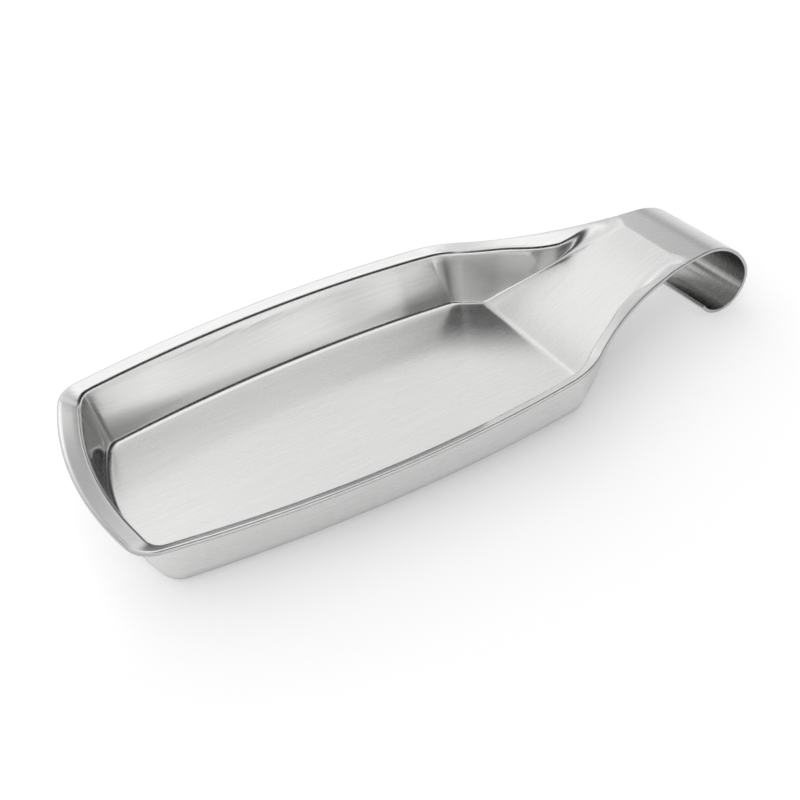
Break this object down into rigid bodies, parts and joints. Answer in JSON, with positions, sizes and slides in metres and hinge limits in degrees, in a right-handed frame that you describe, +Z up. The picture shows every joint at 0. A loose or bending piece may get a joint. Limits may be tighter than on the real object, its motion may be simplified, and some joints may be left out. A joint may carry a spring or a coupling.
{
  "type": "spoon rest",
  "caption": "Spoon rest pressed from one sheet of brushed steel: a shallow barrel-sided tray with a flared lip, a ramp at the neck and a flat strap handle that curls under as a foot.",
  "frame": {"origin": "on the table under the middle of the part's bounding box", "axes": "+X runs along the length from the tray to the curled handle, +Y across, +Z up"},
  "size_m": [0.231, 0.0958, 0.028],
  "materials": {
    "pressed_steel_body": "satin brushed along the length"
  },
  "bodies": {
    "root": {"pressed_steel_body": "pressed_steel_body"}
  },
  "joints": []
}
